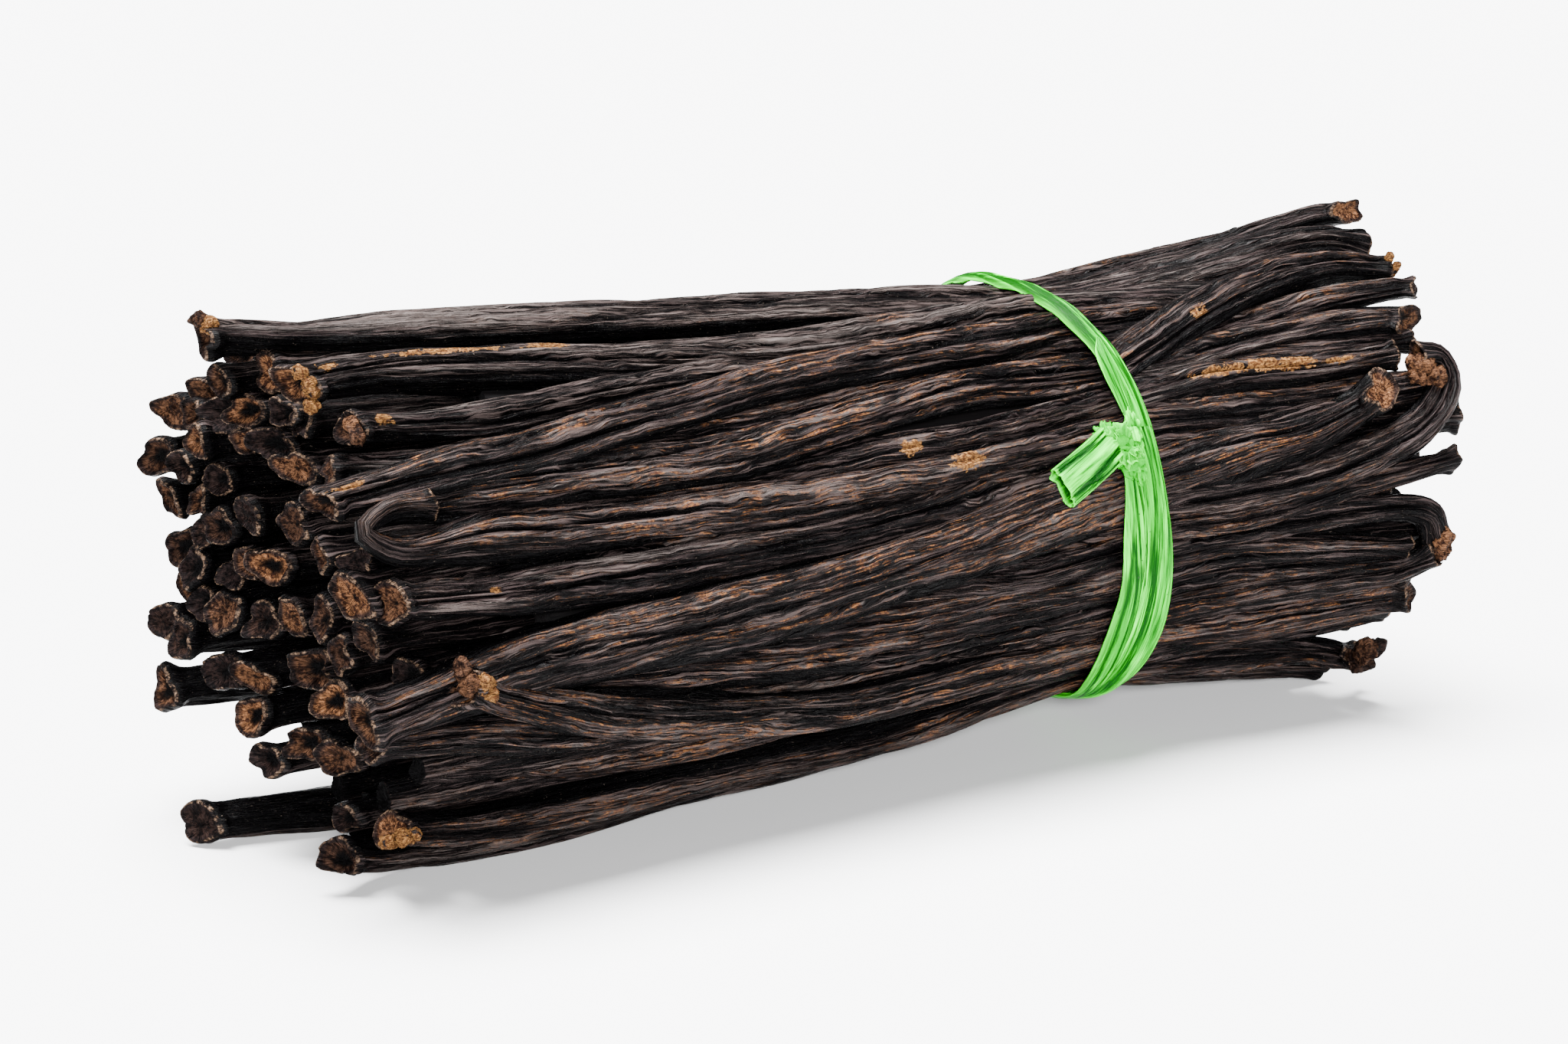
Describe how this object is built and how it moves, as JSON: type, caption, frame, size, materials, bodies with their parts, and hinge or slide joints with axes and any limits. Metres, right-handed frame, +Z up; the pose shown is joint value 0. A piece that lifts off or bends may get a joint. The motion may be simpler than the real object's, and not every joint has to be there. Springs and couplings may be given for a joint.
{
  "type": "bundle of vanilla pods",
  "caption": "Round bundle of long dark wrinkled vanilla pods lying on its side, tied near one end with a band of green raffia.",
  "frame": {"origin": "on the floor under the middle of the bundle's footprint", "axes": "+X along the pods from their blossom ends to their stem ends, +Z up, -Y towards the side with the knot"},
  "size_m": [0.1744, 0.0698, 0.0695],
  "materials": {
    "pod_skin": "dry, wrinkled and slightly oily, with a dull grey sheen",
    "raffia": "bright green split film, pleated lengthwise and partly see-through"
  },
  "bodies": {
    "root": {"vanilla_pods": "pod_skin", "raffia_tie": "raffia"}
  },
  "joints": []
}
